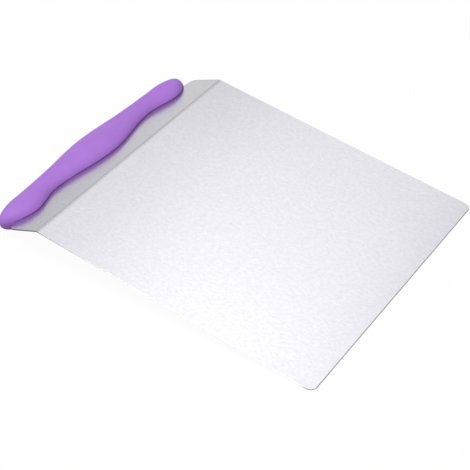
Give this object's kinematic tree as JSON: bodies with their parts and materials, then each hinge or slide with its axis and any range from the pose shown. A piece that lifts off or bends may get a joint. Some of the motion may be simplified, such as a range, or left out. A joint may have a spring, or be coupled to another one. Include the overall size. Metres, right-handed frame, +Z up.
{
  "type": "cake lifter",
  "caption": "Cake lifter: a broad square sheet-steel blade with a folded rear strip, and a wavy moulded handle screwed on that strip to slide under and carry a cake.",
  "frame": {"origin": "under the middle of the part's box, on the surface it lies on", "axes": "+X along the fold, +Y from the blade's front edge towards the handle, +Z up. It lies with the fold up, on the blade's front edge and on the handle"},
  "size_m": [0.255, 0.3222, 0.0316],
  "materials": {
    "blade_steel": "finely brushed stainless sheet",
    "handle_plastic": "matte purple moulding",
    "screw_steel": "zinc-plated"
  },
  "bodies": {
    "root": {"blade": "blade_steel", "handle_upper_shell": "handle_plastic", "handle_lower_shell": "handle_plastic", "screw_1": "screw_steel", "screw_2": "screw_steel", "screw_3": "screw_steel", "screw_4": "screw_steel"}
  },
  "joints": []
}
